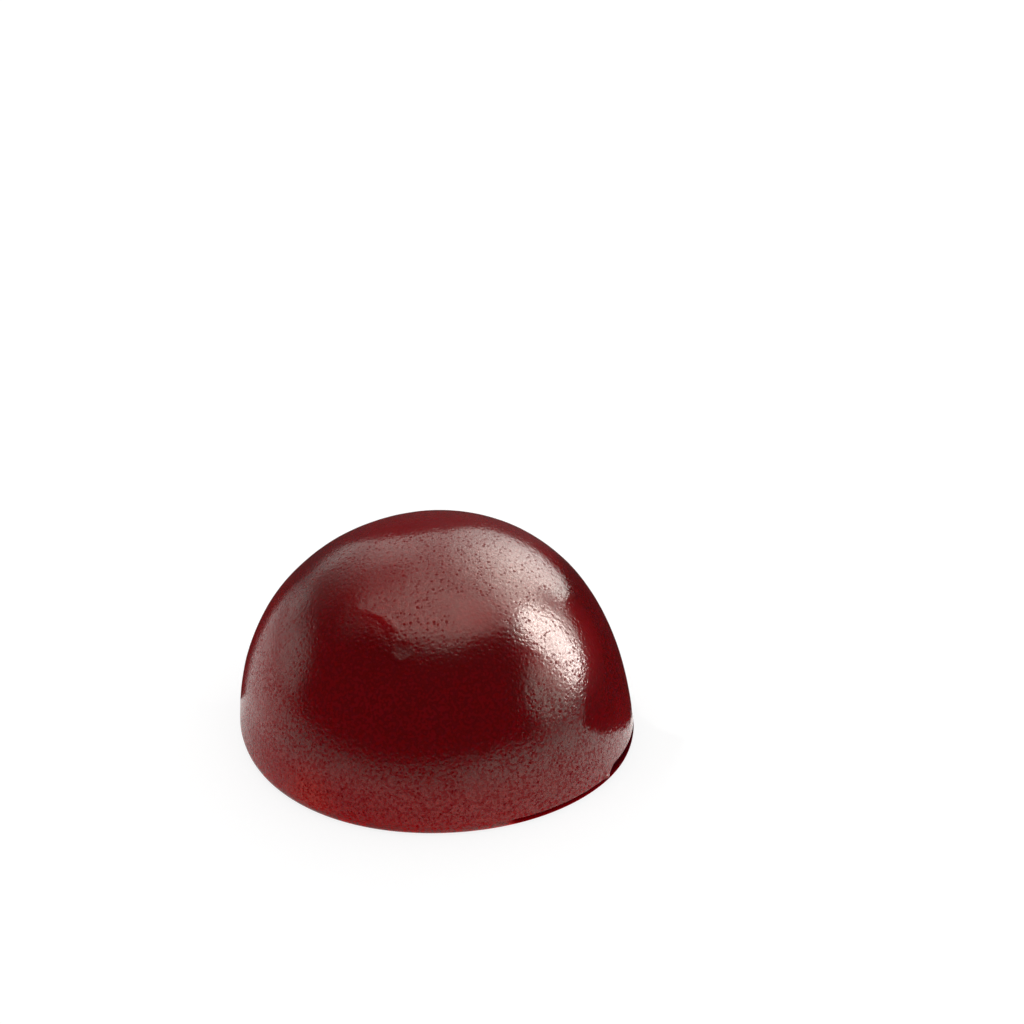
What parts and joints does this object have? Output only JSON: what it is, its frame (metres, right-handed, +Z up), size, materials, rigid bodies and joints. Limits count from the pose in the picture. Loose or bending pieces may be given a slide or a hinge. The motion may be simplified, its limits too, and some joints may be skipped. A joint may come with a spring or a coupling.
{
  "type": "chewy candy",
  "caption": "Dome-shaped dark wine-red fruit gummy with a flat base, a thin mould rim and a finely pitted, oiled skin.",
  "frame": {"origin": "middle of the flat base, on the surface that the candy stands on", "axes": "+Z up through the dome, -Y towards the side shown in the picture, +X towards the crisp side of the rim"},
  "size_m": [0.0198, 0.0202, 0.0112],
  "materials": {
    "fruit_jelly": "dark translucent fruit jelly with a lightly oiled, finely pitted skin"
  },
  "bodies": {
    "root": {"gummy_dome": "fruit_jelly"}
  },
  "joints": []
}
